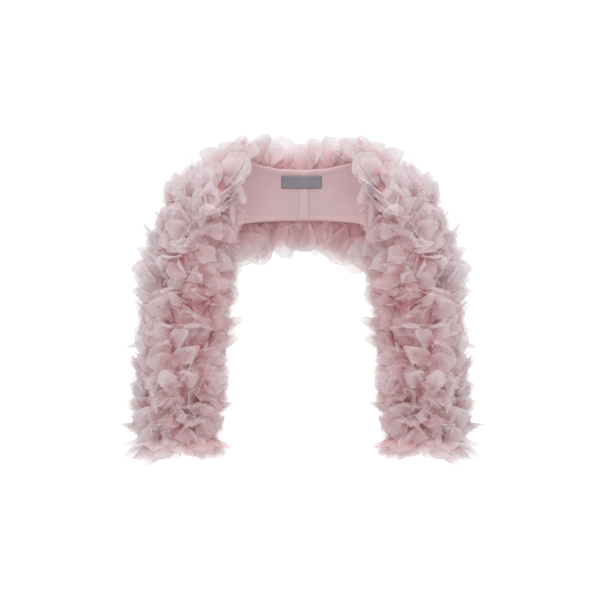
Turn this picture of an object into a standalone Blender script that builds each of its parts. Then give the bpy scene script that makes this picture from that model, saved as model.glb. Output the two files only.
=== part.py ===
"""Petal bolero: a cropped, open-fronted jacket with a short back, slivers of front and straight sleeves.

Rows of sewn-on cloth petals cover it outside. A smooth lining with a centre pleat and a bare label show
inside. Metres, +Z up. The front faces -Y and the wearer's left arm hangs at +X. The origin is midway
between the shoulders, level with the neck edge, where the wearer holds the garment up.
"""

import math
from collections import namedtuple

import bmesh
import bpy
import numpy as np

# Cloth
SHELL = 0.002
LINING = 0.001
LABEL = 0.001
SEAM_GAP = 0.0003
ARMHOLE_GAP = 0.0006
LINING_SHORT = 0.002

# The garment is one tube from cuff to cuff, cut open in front. Each ring is an ellipse between its low point
# on the underarm side and its high point on the shoulder side. Reach is the way along the tube from its centre.
Ring = namedtuple("Ring", "reach low_x low_z high_x high_z mid_y half_y")
RINGS = [
    Ring(0.000, 0.0000, -0.140, 0.000, 0.040, 0.025, 0.062),
    Ring(0.060, 0.0590, -0.142, 0.060, 0.030, 0.023, 0.0615),
    Ring(0.104, 0.1000, -0.146, 0.104, 0.008, 0.016, 0.060),
    Ring(0.140, 0.1300, -0.150, 0.140, -0.006, 0.010, 0.059),
    Ring(0.172, 0.1500, -0.152, 0.172, -0.023, 0.005, 0.058),
    Ring(0.197, 0.1520, -0.164, 0.203, -0.048, 0.004, 0.057),
    Ring(0.224, 0.1535, -0.177, 0.226, -0.082, 0.003, 0.056),
    Ring(0.254, 0.1550, -0.192, 0.243, -0.125, 0.001, 0.055),
    Ring(0.291, 0.1570, -0.213, 0.255, -0.175, -0.001, 0.053),
    Ring(0.333, 0.1585, -0.242, 0.262, -0.230, -0.004, 0.052),
    Ring(0.397, 0.1630, -0.300, 0.266, -0.300, -0.009, 0.051),
    Ring(0.467, 0.1700, -0.370, 0.271, -0.370, -0.016, 0.050),
    Ring(0.537, 0.1770, -0.440, 0.275, -0.440, -0.025, 0.048),
    Ring(0.612, 0.1840, -0.515, 0.272, -0.515, -0.036, 0.044),
]
ARMHOLE = 0.172
CUFF = 0.612
BICEP = 0.333
ARMPIT = -0.3
RING_SIDES = 18

# Edges of the opening, as angles round the ring: 0 at the back, 90 at the shoulder, 180 at the front.
Edge = namedtuple("Edge", "reach angle")
SHOULDER_SEAM = 90
SIDE_SEAM = -90
BACK_TOP = [Edge(0.000, 33.7), Edge(0.060, 41), Edge(0.090, 64), Edge(0.104, SHOULDER_SEAM)]
BACK_HEM = [Edge(0.000, -32), Edge(0.115, -31), Edge(0.130, -43), Edge(0.152, SIDE_SEAM)]
FRONT_EDGE = [Edge(0.104, 90), Edge(0.128, 135), Edge(0.142, 180), Edge(0.148, 225), Edge(0.152, 270)]

# Petal tapes. A tape lies between two neighbouring lines of a panel's grid, so each grid has those lines.
TAPE_WIDTH = 0.006
TAPE = 0.0015
SLEEVE_ROWS = 10
FIRST_ROW = 0.042
LAST_ROW_FROM_CUFF = 0.012
BACK_STEP = 0.0085
BACK_STEPS = 12
BACK_WIDE_COLUMNS = [0.114, 0.123, 0.129, 0.144, 0.158, 0.164, ARMHOLE]
BACK_ROWS = [0, 0.05, 0.11, 0.30, 0.47, 0.53, 0.64, 0.89, 0.95, 1]
EVEN_OUT_FROM = 0.102
EVEN_OUT_TO = 0.158
FRONT_COLUMNS = [0, 0.12, 0.32, 0.50, 0.68, 0.88, 1]

# A petal leaves its tape at lean_root degrees from the cloth's normal and bends over to lean_tip at its end.
# Neighbours swing apart, every second one leaning more.
Petal = namedtuple("Petal", "length width lean_root lean_tip swing")
SLEEVE_PETAL = Petal(0.056, 0.032, 13, 70, 2)
CUFF_PETAL = Petal(0.052, 0.030, 36, 82, 5)
TOP_PETAL = Petal(0.062, 0.034, 42, 64, 9)
HEM_PETAL = Petal(0.070, 0.036, 46, 66, 9)
BACK_PETAL = Petal(0.050, 0.030, 12, 66, 9)
SHOULDER_PETAL = Petal(0.048, 0.030, 12, 60, 2)
FRONT_PETAL = Petal(0.048, 0.028, 24, 72, 6)
PETAL_CLOTH = 0.0016
Section = namedtuple("Section", "along width cup")
PETAL_SECTIONS = [Section(0.36, 0.82, 0.12), Section(0.74, 1.00, 0.15), Section(1.00, 0.30, 0.00)]

# Lining pleat at centre back and the label over it
PLEAT = 2 * BACK_STEP
PLEAT_GAP = 0.0004
PLEAT_EASE = 5 * BACK_STEP
LABEL_WIDTH = 9 * BACK_STEP
LABEL_ROWS = [0.64, 0.89]

SHELL_PINK = (0.62, 0.33, 0.36)
LINING_PINK = (0.60, 0.41, 0.43)
PETAL_PINK = (0.66, 0.40, 0.42)
LABEL_GREY = (0.23, 0.21, 0.24)


def clear_scene():
    for obj in list(bpy.data.objects):
        bpy.data.objects.remove(obj)


def finish(name, colour, roughness):
    """A plain coloured material for one kind of cloth."""
    material = bpy.data.materials.new(name)
    material.use_nodes = True
    shader = material.node_tree.nodes["Principled BSDF"]
    shader.inputs["Base Color"].default_value = (*colour, 1)
    shader.inputs["Roughness"].default_value = roughness
    shader.inputs["Metallic"].default_value = 0
    return material


def smooth_through(rows, at):
    """Cubic curve through rows of numbers, whose first column is the parameter, read at the parameter at."""
    table = np.array(rows, float)
    key = table[:, 0]
    slopes = np.gradient(table[:, 1:], key, axis=0)
    i = int(np.clip(np.searchsorted(key, at) - 1, 0, len(key) - 2))
    span = key[i + 1] - key[i]
    t = (at - key[i]) / span
    return (
        (2 * t**3 - 3 * t**2 + 1) * table[i, 1:]
        + (t**3 - 2 * t**2 + t) * span * slopes[i]
        + (3 * t**2 - 2 * t**3) * table[i + 1, 1:]
        + (t**3 - t**2) * span * slopes[i + 1]
    )


def both_arms():
    """The ring table from one cuff to the other: the right half mirrored, then the left half."""
    mirrored = [r._replace(reach=-r.reach, low_x=-r.low_x, high_x=-r.high_x) for r in RINGS[:0:-1]]
    return mirrored + RINGS


WHOLE_TUBE = both_arms()


def tube_point(reach, angle):
    """A point of the outer cloth surface, angle in degrees round the ring."""
    low_x, low_z, high_x, high_z, mid_y, half_y = smooth_through(WHOLE_TUBE, reach)
    low = np.array([low_x, mid_y, low_z])
    high = np.array([high_x, mid_y, high_z])
    turn = math.radians(angle)
    return (low + high) / 2 + math.sin(turn) * (high - low) / 2 + np.array([0, half_y * math.cos(turn), 0])


def tube_normal(reach, angle):
    """The outward normal of the cloth surface."""
    step_reach = 0.001
    step_angle = 1.0
    along = tube_point(reach + step_reach, angle) - tube_point(reach - step_reach, angle)
    around = tube_point(reach, angle + step_angle) - tube_point(reach, angle - step_angle)
    normal = np.cross(along, around)
    outward = tube_point(reach, angle) - tube_point(reach, angle + 180)
    return normal / np.linalg.norm(normal) * math.copysign(1, normal @ outward)


class Panel:
    """A grid of points on the tube: rows of (reach, angle) pairs, with the normals there."""

    def __init__(self, rows, closed=False):
        self.closed = closed
        self.points = np.array([[tube_point(*place) for place in row] for row in rows])
        self.normals = np.array([[tube_normal(*place) for place in row] for row in rows])

    def draw_back(self, axis, end, distance):
        """Moves one edge line of the grid back towards its neighbour, which opens a seam gap."""
        edge, neighbour = (0, 1) if end == "first" else (-1, -2)
        lines = np.moveaxis(self.points, axis, 0)
        way = lines[neighbour] - lines[edge]
        lines[edge] += way / np.linalg.norm(way, axis=-1, keepdims=True) * distance

    def moved_out(self, distance):
        return self.points + self.normals * distance

    def line(self, axis, index, first=None, last=None):
        """Points and normals of one grid line, a row (axis 0) or a column (axis 1), or a stretch of it."""
        points = np.moveaxis(self.points, axis, 0)[index][first:last]
        normals = np.moveaxis(self.normals, axis, 0)[index][first:last]
        return points, normals


def add_object(name, bm, material):
    bmesh.ops.triangulate(bm, faces=bm.faces, quad_method="SHORT_EDGE")
    bmesh.ops.recalc_face_normals(bm, faces=bm.faces)
    mesh = bpy.data.meshes.new(name)
    bm.to_mesh(mesh)
    bm.free()
    mesh.shade_smooth()
    mesh.set_sharp_from_angle(angle=math.radians(40))
    mesh.materials.append(material)
    obj = bpy.data.objects.new(name, mesh)
    bpy.context.scene.collection.objects.link(obj)
    return obj


def cloth_wall(name, outer, inner, material, closed=False):
    """A wall of cloth: the outer sheet is laid out as a grid and extruded to the inner one."""
    rows, columns = outer.shape[:2]
    bm = bmesh.new()
    place = bm.verts.layers.int.new("place")
    grid = []
    for index, point in enumerate(outer.reshape(-1, 3)):
        vert = bm.verts.new(point)
        vert[place] = index
        grid.append(vert)
    for i in range(rows - 1):
        for j in range(columns if closed else columns - 1):
            k = (j + 1) % columns
            corners = (i * columns + j, i * columns + k, (i + 1) * columns + k, (i + 1) * columns + j)
            bm.faces.new([grid[c] for c in corners])
    made = bmesh.ops.extrude_face_region(bm, geom=bm.faces[:], use_keep_orig=True)
    inside = inner.reshape(-1, 3)
    for vert in made["geom"]:
        if isinstance(vert, bmesh.types.BMVert):
            vert.co = inside[vert[place]]
    return add_object(name, bm, material)


def petal_sections(petal, root, along, normal, towards, swing):
    """The four corners of each cross-section of a petal: left edge, upper rib, right edge, lower rib."""
    start = math.radians(petal.lean_root + swing)
    turn = math.radians(petal.lean_tip - petal.lean_root)
    sections = []
    for part in PETAL_SECTIONS:
        lean = start + turn * part.along
        rise = (math.sin(lean) - math.sin(start)) / turn
        drift = (math.cos(start) - math.cos(lean)) / turn
        centre = root + petal.length * (rise * normal + drift * towards)
        upper = math.sin(lean) * normal - math.cos(lean) * towards
        half = along * petal.width * part.width / 2
        cup = upper * petal.width * part.cup
        rib = upper * PETAL_CLOTH / 2
        sections.append((centre - half + cup, centre + rib, centre + half + cup, centre - rib))
    return sections


def crease(inner, outer):
    """Splits a petal's four sides from its edges to its ribs, so both of its faces bend alike."""
    for edge in (0, 2):
        for rib in (1, 3):
            side = set(inner[edge].link_faces) & set(outer[rib].link_faces)
            bmesh.utils.face_split(side.pop(), inner[edge], outer[rib])


def petal_tape(name, near, far, petal, material, bears, closed=False):
    """A narrow tape between two grid lines with a petal grown from each segment that bears one.

    near and far are (points, normals) of the lines, and the petals lean from near towards far.
    """
    bm = bmesh.new()
    corner = bm.verts.layers.int.new("corner")
    base = SEAM_GAP
    top = SEAM_GAP + TAPE
    lines = [points + normals * height for points, normals in (near, far) for height in (base, top)]
    near_base, near_top, far_base, far_top = [[bm.verts.new(p) for p in line] for line in lines]
    count = len(near_base)
    roots = []
    for j in range(count if closed else count - 1):
        k = (j + 1) % count
        bm.faces.new((near_base[j], near_base[k], far_base[k], far_base[j]))
        bm.faces.new((near_base[j], near_base[k], near_top[k], near_top[j]))
        bm.faces.new((far_base[j], far_base[k], far_top[k], far_top[j]))
        roots.append((j, k, bm.faces.new((near_top[j], near_top[k], far_top[k], far_top[j]))))
    if not closed:
        for j in (0, -1):
            bm.faces.new((near_base[j], near_top[j], far_top[j], far_base[j]))
    grown = 0
    for segment, (j, k, face) in enumerate(roots):
        if not bears(segment):
            continue
        quad = [near_top[j], near_top[k], far_top[k], far_top[j]]
        ends = [np.array(v.co) for v in quad]
        root = sum(ends) / 4
        along = ends[1] - ends[0] + ends[2] - ends[3]
        along /= np.linalg.norm(along)
        normal = near[1][j] + near[1][k] + far[1][j] + far[1][k]
        normal -= along * (normal @ along)
        normal /= np.linalg.norm(normal)
        towards = np.cross(normal, along)
        towards *= math.copysign(1, towards @ (ends[2] + ends[3] - ends[0] - ends[1]))
        swing = petal.swing if grown % 2 else -petal.swing
        for number, vert in enumerate(quad):
            vert[corner] = number
        for section in petal_sections(petal, root, along, normal, towards, swing):
            face = bmesh.ops.extrude_discrete_faces(bm, faces=[face])["faces"][0]
            outer = sorted(face.verts, key=lambda vert: vert[corner])
            for vert, place in zip(outer, section):
                vert.co = place
            crease(quad, outer)
            quad = outer
        grown += 1
    return add_object(name, bm, material)


def every(step, first=0):
    """Bears a petal on every step-th segment."""
    return lambda segment: segment % step == first


def round_the_arm(first, underarm):
    """Bears a petal on every second segment of a sleeve ring, in the armpit only if underarm is set."""

    def bears(segment):
        height = math.sin(math.radians(SIDE_SEAM + 360 * (segment + 0.5) / RING_SIDES))
        return segment % 2 == first and (underarm or height > ARMPIT)

    return bears


def sleeve_row_reaches():
    """Tape places, spaced evenly along the sleeve's outer line from the armhole to the cuff."""
    reaches = np.linspace(ARMHOLE, CUFF, 200)
    line = np.array([tube_point(r, SHOULDER_SEAM) for r in reaches])
    walked = np.concatenate([[0], np.cumsum(np.linalg.norm(np.diff(line, axis=0), axis=1))])
    wanted = np.linspace(FIRST_ROW, walked[-1] - LAST_ROW_FROM_CUFF, SLEEVE_ROWS)
    return np.interp(wanted, walked, reaches)


def make_sleeve(arm, side, shell, petals):
    """One sleeve, a tube with a tape of petals at each row. side is 1 for the left arm, -1 for the right."""
    angles = [SIDE_SEAM + 360 * k / RING_SIDES for k in range(RING_SIDES)]
    rows = sleeve_row_reaches()
    places = [ARMHOLE]
    for reach in rows:
        places += [reach - TAPE_WIDTH / 2, reach + TAPE_WIDTH / 2]
    places += [CUFF]
    panel = Panel([[(side * reach, angle) for angle in angles] for reach in places], closed=True)
    panel.draw_back(0, "first", ARMHOLE_GAP / 2)
    cloth_wall(f"sleeve_{arm}", panel.points, panel.moved_out(-SHELL), shell, closed=True)
    for number, reach in enumerate(rows):
        petal = CUFF_PETAL if number == SLEEVE_ROWS - 1 else SLEEVE_PETAL
        bears = round_the_arm(number % 2, underarm=reach > BICEP)
        lines = [panel.line(0, 2 * number + 1), panel.line(0, 2 * number + 2)]
        petal_tape(f"petals_sleeve_{arm}_{number + 1:02d}", *lines, petal, petals, bears, closed=True)


def angle_at(edge, reach):
    """Angle of an edge of the back at a reach, level beyond the edge's last point."""
    return float(np.interp(abs(reach), [e.reach for e in edge], [e.angle for e in edge]))


def back_columns():
    half = [BACK_STEP * k for k in range(1, BACK_STEPS + 1)] + BACK_WIDE_COLUMNS
    return [-r for r in reversed(half)] + [0] + half


def back_angle(share, reach):
    """Angle of one of the back's rows at a reach. The rows spread out evenly on the way to the armhole."""
    way = (abs(reach) - EVEN_OUT_FROM) / (EVEN_OUT_TO - EVEN_OUT_FROM)
    way = max(0.0, min(1.0, way))
    even = BACK_ROWS.index(share) / (len(BACK_ROWS) - 1)
    spread = share + (even - share) * way * way * (3 - 2 * way)
    hem = angle_at(BACK_HEM, reach)
    return hem + spread * (angle_at(BACK_TOP, reach) - hem)


def back_panel():
    columns = back_columns()
    panel = Panel([[(reach, back_angle(share, reach)) for reach in columns] for share in BACK_ROWS])
    for end in ("first", "last"):
        panel.draw_back(1, end, ARMHOLE_GAP / 2)
        panel.draw_back(0, end, SEAM_GAP / 2)
    return panel


def make_back(panel, shell, petals):
    """The back shell with its tapes: hem, middle and top run across it, and two arcs climb each shoulder."""
    cloth_wall("back", panel.points, panel.moved_out(-SHELL), shell)
    columns = back_columns()
    first = columns.index(-BACK_STEPS * BACK_STEP)
    last = len(columns) - first
    row = {share: index for index, share in enumerate(BACK_ROWS)}
    across = [
        ("petals_back_hem", 0.11, 0.05, HEM_PETAL),
        ("petals_back_middle", 0.53, 0.47, BACK_PETAL),
        ("petals_back_top", 0.89, 0.95, TOP_PETAL),
    ]
    for name, near, far, petal in across:
        lines = [panel.line(0, row[share], first, last) for share in (near, far)]
        petal_tape(name, *lines, petal, petals, every(3, 1))
    climbing = [("inner", 0.123, 0.129), ("outer", 0.158, 0.164)]
    for arm, side in (("left", 1), ("right", -1)):
        for place, near, far in climbing:
            lines = [panel.line(1, columns.index(side * reach), 1, -1) for reach in (near, far)]
            petal_tape(f"petals_shoulder_{arm}_{place}", *lines, SHOULDER_PETAL, petals, every(2))


def make_front(arm, side, shell, petals):
    """The sliver of front between the opening and the armhole, with a tape along each of its long edges."""
    angles = [SHOULDER_SEAM + 180 * k / (RING_SIDES // 2) for k in range(RING_SIDES // 2 + 1)]
    rows = []
    for angle in angles:
        edge = float(np.interp(angle, [e.angle for e in FRONT_EDGE], [e.reach for e in FRONT_EDGE]))
        rows.append([(side * (edge + share * (ARMHOLE - edge)), angle) for share in FRONT_COLUMNS])
    panel = Panel(rows)
    for end in ("first", "last"):
        panel.draw_back(0, end, SEAM_GAP / 2)
    panel.draw_back(1, "last", ARMHOLE_GAP / 2)
    cloth_wall(f"front_{arm}", panel.points, panel.moved_out(-SHELL), shell)
    inward = [panel.line(1, FRONT_COLUMNS.index(share), 1, -2) for share in (0.32, 0.12)]
    petal_tape(f"petals_front_{arm}_edge", *inward, FRONT_PETAL, petals, every(2))
    outward = [panel.line(1, FRONT_COLUMNS.index(share), 1, -2) for share in (0.68, 0.88)]
    petal_tape(f"petals_front_{arm}_armhole", *outward, SHOULDER_PETAL, petals, every(2, 1))


def pleated_path():
    """The lining's run across the back as (column, depth) pairs, depth being inward from the shell.

    It lies on the shell, folds back over itself at the pleat and eases down to the shell again.
    """
    flat = SHELL + SEAM_GAP + LINING / 2
    layer = LINING + PLEAT_GAP
    seam = ARMHOLE - LINING_SHORT
    columns = [max(-seam, min(seam, r)) for r in back_columns() if abs(r) > PLEAT_EASE + BACK_STEP / 2]
    path = [(r, flat) for r in columns if r < 0]
    path += [(-PLEAT_EASE, flat), (-PLEAT, flat), (0, flat), (PLEAT, flat)]
    path += [(PLEAT + layer / 2, flat + layer / 2), (PLEAT, flat + layer)]
    path += [(0, flat + layer), (-layer / 2, flat + 1.5 * layer), (0, flat + 2 * layer)]
    path += [(PLEAT, flat + 2 * layer), (PLEAT_EASE, flat)]
    path += [(r, flat) for r in columns if r > 0]
    return path


def beside(path, distance):
    """A path of (reach, depth) pairs moved sideways by a distance, to its deeper side if that is positive."""
    line = np.array(path)
    ways = np.diff(line, axis=0)
    ways /= np.linalg.norm(ways, axis=1, keepdims=True)
    sides = np.stack([-ways[:, 1], ways[:, 0]], axis=1)
    first = np.vstack([sides[:1], sides])
    last = np.vstack([sides, sides[-1:]])
    middle = first + last
    middle /= np.linalg.norm(middle, axis=1, keepdims=True)
    miter = np.sum(middle * last, axis=1, keepdims=True)
    return line + distance * middle / np.maximum(miter, 0.5)


def on_back(path, rows):
    """Points of a path of (reach, depth) pairs at each of the back's rows."""
    sheet = []
    for share in rows:
        line = []
        for reach, depth in path:
            angle = back_angle(share, reach)
            line.append(tube_point(reach, angle) - tube_normal(reach, angle) * depth)
        sheet.append(line)
    return np.array(sheet)


def make_lining(material):
    path = pleated_path()
    outer = on_back(beside(path, -LINING / 2), BACK_ROWS)
    inner = on_back(beside(path, LINING / 2), BACK_ROWS)
    cloth_wall("lining_back", outer, inner, material)


def make_label(material):
    """A bare woven label across the pleat, just under the neck edge, over the lining's points."""
    layer = LINING + PLEAT_GAP
    flat = SHELL + SEAM_GAP + LINING
    half = LABEL_WIDTH / 2
    slope = (PLEAT_EASE - half) / (PLEAT_EASE - PLEAT)
    path = [(-half, flat), (-PLEAT, flat), (-layer, flat + 2 * layer), (PLEAT, flat + 2 * layer)]
    path += [(half, flat + 2 * layer * slope)]
    lift = [(reach, depth + SEAM_GAP + LABEL / 2) for reach, depth in path]
    outer = on_back(beside(lift, -LABEL / 2), LABEL_ROWS)
    inner = on_back(beside(lift, LABEL / 2), LABEL_ROWS)
    cloth_wall("label", outer, inner, material)


def main():
    clear_scene()
    shell = finish("shell cloth", SHELL_PINK, 0.8)
    lining = finish("lining satin", LINING_PINK, 0.45)
    petals = finish("petal organza", PETAL_PINK, 0.7)
    label = finish("label weave", LABEL_GREY, 0.6)
    panel = back_panel()
    make_back(panel, shell, petals)
    make_lining(lining)
    make_label(label)
    for arm, side in (("left", 1), ("right", -1)):
        make_front(arm, side, shell, petals)
        make_sleeve(arm, side, shell, petals)


main()
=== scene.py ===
"""Dresses the petal bolero: its base cloth, pleated lining, bare neck label and some 2,500 organza petals."""

import math
from collections import namedtuple

import bpy
import numpy as np
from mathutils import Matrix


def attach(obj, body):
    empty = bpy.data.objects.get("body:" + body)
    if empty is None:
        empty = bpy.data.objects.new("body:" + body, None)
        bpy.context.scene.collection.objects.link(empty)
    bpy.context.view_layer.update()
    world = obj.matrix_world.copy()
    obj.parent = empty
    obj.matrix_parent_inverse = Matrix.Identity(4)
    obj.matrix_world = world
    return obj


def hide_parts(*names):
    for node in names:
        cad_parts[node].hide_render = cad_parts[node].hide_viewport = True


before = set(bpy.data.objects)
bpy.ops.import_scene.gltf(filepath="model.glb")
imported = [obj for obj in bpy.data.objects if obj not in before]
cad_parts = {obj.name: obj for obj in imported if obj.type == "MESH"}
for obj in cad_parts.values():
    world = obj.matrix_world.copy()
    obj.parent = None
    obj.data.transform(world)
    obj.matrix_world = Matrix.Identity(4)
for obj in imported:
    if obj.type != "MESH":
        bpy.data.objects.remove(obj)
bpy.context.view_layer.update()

bl_info = {
    "name": "Petal bolero",
    "version": (1, 0, 0),
    "blender": (4, 5, 0),
    "location": "View3D > Sidebar > Bolero",
    "description": "Builds a cropped bolero covered in organza petals around its solid model",
    "category": "Add Mesh",
}

# The garment is one tube from cuff to cuff, cut open in front. Each ring is an ellipse between its low point on
# the underarm side and its high point on the shoulder side. Reach is the way along the tube from centre back.
Ring = namedtuple("Ring", "reach low_x low_z high_x high_z mid_y half_y")
RINGS = [
    Ring(0.000, 0.0000, -0.140, 0.000, 0.040, 0.025, 0.062),
    Ring(0.060, 0.0590, -0.142, 0.060, 0.030, 0.023, 0.0615),
    Ring(0.104, 0.1000, -0.146, 0.104, 0.008, 0.016, 0.060),
    Ring(0.140, 0.1300, -0.150, 0.140, -0.006, 0.010, 0.059),
    Ring(0.172, 0.1500, -0.152, 0.172, -0.023, 0.005, 0.058),
    Ring(0.197, 0.1520, -0.164, 0.203, -0.048, 0.004, 0.057),
    Ring(0.224, 0.1535, -0.177, 0.226, -0.082, 0.003, 0.056),
    Ring(0.254, 0.1550, -0.192, 0.243, -0.125, 0.001, 0.055),
    Ring(0.291, 0.1570, -0.213, 0.255, -0.175, -0.001, 0.053),
    Ring(0.333, 0.1585, -0.242, 0.262, -0.230, -0.004, 0.052),
    Ring(0.397, 0.1630, -0.300, 0.266, -0.300, -0.009, 0.051),
    Ring(0.467, 0.1700, -0.370, 0.271, -0.370, -0.016, 0.050),
    Ring(0.537, 0.1770, -0.440, 0.275, -0.440, -0.025, 0.048),
    Ring(0.612, 0.1840, -0.515, 0.272, -0.515, -0.036, 0.044),
]
TUBE = np.array([(-r.reach, -r.low_x, r.low_z, -r.high_x, *r[4:]) for r in RINGS[:0:-1]] + RINGS)
TUBE_SLOPES = np.gradient(TUBE[:, 1:], TUBE[:, 0], axis=0)
MIDDLE_RADIUS = 0.07
ARMHOLE = 0.172
ELBOW = 0.40
CUFF = 0.612
SHOULDER_SEAM = 90
SIDE_SEAM = -90

# Edges of the opening: the angle round the ring is 0 at the back, 90 at the shoulder and 180 at the front. Beside an
# armhole the panels stop short of it by the seam gap.
Edge = namedtuple("Edge", "reach angle")
BACK_TOP = [
    Edge(0.000, 32.6),
    Edge(0.040, 37),
    Edge(0.060, 43.5),
    Edge(0.085, 60),
    Edge(0.104, SHOULDER_SEAM),
]
BACK_HEM = [
    Edge(0.000, -34),
    Edge(0.060, -31.5),
    Edge(0.104, -27),
    Edge(0.125, -26),
    Edge(0.138, -44),
    Edge(0.152, SIDE_SEAM),
]
FRONT_EDGE = [
    Edge(0.104, SHOULDER_SEAM),
    Edge(0.128, 135),
    Edge(0.142, 180),
    Edge(0.148, 225),
    Edge(0.152, SIDE_SEAM + 360),
]
SEAM_GAP = 0.0003

# How far the lining lies inside the outer cloth surface, its height, and the pleat folded into it at centre back
LINING_DEPTH = 0.0028
LINING_HEIGHT = 0.098
PLEAT_WIDTH = 0.0155
PLEAT_LAYER = 0.0009
PLEAT_START = -0.0045

# The label's width, the shares of the lining's height that it lies between, its round corners and its thickness
LABEL_WIDTH = 0.079
LABEL_SHARES = (0.64, 0.89)
LABEL_CORNER = 0.0022
LABEL_CLOTH = 0.0005

# Open edges that petals lean out over: where they run and which way is out, how close the tufts along them stand and
# how far in, the range of the lean, and the petals' lean, length, width and share kept beside the rest
EdgeLine = namedtuple("EdgeLine", "reach angle kind way spacing inset range lean length width kept")
ROUND_CUFF = np.linspace(-90, 268, 120)

# A second row of tufts at the cuff, how many places are tried for the rest, and what the back's other half adds to
# the seed
SECOND_CUFF_ROW = CUFF - 0.040
SCATTER_TRIES = 14000
OTHER_BACK_SEED = 40

# The rings of petals in a tuft: the share of its petals, how far they open from its axis and bend on, in degrees, and
# their length beside the middle length. Each petal turns on from the last by the golden angle, in radians.
PetalRing = namedtuple("PetalRing", "share open_low open_high bend_low bend_high length")
PETAL_RINGS = [
    PetalRing(0.20, 14, 38, -6, 34, 0.90),
    PetalRing(0.42, 38, 62, -6, 32, 1.00),
    PetalRing(0.38, 60, 82, -20, 14, 1.05),
]
GOLDEN_ANGLE = 2.4
PETAL_ROWS = np.array([0, 0.12, 0.32, 0.54, 0.75, 0.91, 1.0])
PETAL_COLUMNS = np.linspace(-1, 1, 7)

# Petals over this height above the cloth, more on the sleeves, are softly drawn in to keep to the outline.
CROWN = 0.030
OUTER_CROWN = 0.018
CROWN_SOFTNESS = 0.020

# The photograph's view and its light
CAMERA_PLACE = (-0.003, -2.615, -0.250)
CAMERA_LENS = 84.3
CAMERA_SENSOR = 36
FLOOR_HEIGHT = -1.35
LIT_PLACE = np.array([0, 0, -0.2])
Lamp = namedtuple("Lamp", "name place size power")
LAMPS = [Lamp("key", (-0.1, -2.5, 0.35), 2.0, 24), Lamp("top", (0.0, -0.5, 1.6), 1.6, 19)]


class BoleroSizes(bpy.types.PropertyGroup):
    """Sizes of the petals and cloth."""

    tuft_spacing: bpy.props.FloatProperty(
        name="Tuft spacing", description="Least distance between two petal tufts", default=0.0250, unit="LENGTH"
    )
    petal_length: bpy.props.FloatProperty(
        name="Petal length", description="Middle length of a petal", default=0.054, unit="LENGTH"
    )
    petal_width: bpy.props.FloatProperty(
        name="Petal width", description="Middle width of a petal", default=0.033, unit="LENGTH"
    )
    petals_per_tuft: bpy.props.IntProperty(
        name="Petals in a tuft", description="Petals pinched together in one tuft", default=6
    )
    cloth: bpy.props.FloatProperty(
        name="Cloth", description="Thickness of the base cloth", default=0.0014, unit="LENGTH"
    )
    satin: bpy.props.FloatProperty(
        name="Satin", description="Thickness of the lining", default=0.0006, unit="LENGTH"
    )
    seed: bpy.props.IntProperty(name="Seed", description="Start of the petals' scatter", default=26)


class BoleroColours(bpy.types.PropertyGroup):
    """Colours of the cloths."""

    petal_pale: bpy.props.FloatVectorProperty(
        name="Pale petal", description="Petal colour at the tip", subtype="COLOR", default=(0.83, 0.765, 0.79)
    )
    petal_rose: bpy.props.FloatVectorProperty(
        name="Rose petal", description="Petal colour at the root", subtype="COLOR", default=(0.76, 0.50, 0.525)
    )
    petal_glow: bpy.props.FloatVectorProperty(
        name="Petal glow", description="Light through a petal", subtype="COLOR", default=(0.88, 0.58, 0.575)
    )
    shell: bpy.props.FloatVectorProperty(
        name="Base cloth", description="Cloth under the petals", subtype="COLOR", default=(0.62, 0.33, 0.36)
    )
    lining: bpy.props.FloatVectorProperty(
        name="Lining", description="Satin inside the back", subtype="COLOR", default=(0.542, 0.385, 0.404)
    )
    label: bpy.props.FloatVectorProperty(
        name="Label", description="Woven neck label", subtype="COLOR", default=(0.215, 0.204, 0.23)
    )


def ring_sizes(reach):
    """The ring's six sizes at each reach, on a cubic curve through the table."""
    key = TUBE[:, 0]
    i = np.clip(np.searchsorted(key, reach) - 1, 0, len(key) - 2)
    span = (key[i + 1] - key[i])[..., None]
    t = (np.asarray(reach) - key[i])[..., None] / span
    rising = 3 * t**2 - 2 * t**3
    bends = (t**3 - 2 * t**2 + t) * TUBE_SLOPES[i] + (t**3 - t**2) * TUBE_SLOPES[i + 1]
    return (1 - rising) * TUBE[i, 1:] + rising * TUBE[i + 1, 1:] + span * bends


def tube_point(reach, angle):
    """Points of the outer cloth surface, angles in degrees round the ring."""
    reach, angle = np.broadcast_arrays(np.asarray(reach, float), np.asarray(angle, float))
    low_x, low_z, high_x, high_z, mid_y, half_y = np.moveaxis(ring_sizes(reach), -1, 0)
    rise = np.sin(np.radians(angle))
    back = np.cos(np.radians(angle))
    x = (low_x + high_x) / 2 + rise * (high_x - low_x) / 2
    z = (low_z + high_z) / 2 + rise * (high_z - low_z) / 2
    return np.stack([x, mid_y + half_y * back, z], axis=-1)


def unit(vectors):
    return vectors / np.maximum(np.linalg.norm(vectors, axis=-1, keepdims=True), 1e-12)


def dot(first, second):
    return np.sum(first * second, axis=-1, keepdims=True)


def tube_frame(reach, angle):
    """Points with their outward normals and their unit ways along the tube and round it."""
    along = unit(tube_point(reach + 0.001, angle) - tube_point(reach - 0.001, angle))
    around = unit(tube_point(reach, angle + 1.0) - tube_point(reach, angle - 1.0))
    normal = unit(np.cross(along, around))
    outward = tube_point(reach, angle) - tube_point(reach, angle + 180.0)
    normal = normal * np.sign(dot(normal, outward))
    return tube_point(reach, angle), normal, along, around


def edge_angle(edge, reach):
    """Angle of a back edge at each reach, with its corners eased."""
    places = np.abs(np.asarray(reach, float)[..., None] + np.linspace(-0.010, 0.010, 11))
    return np.interp(places, [e.reach for e in edge], [e.angle for e in edge]).mean(axis=-1)


def front_reach(angle):
    """Reach of the front edge at each angle from the shoulder round to the underarm."""
    return np.interp(angle, [e.angle for e in FRONT_EDGE], [e.reach for e in FRONT_EDGE])


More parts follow.
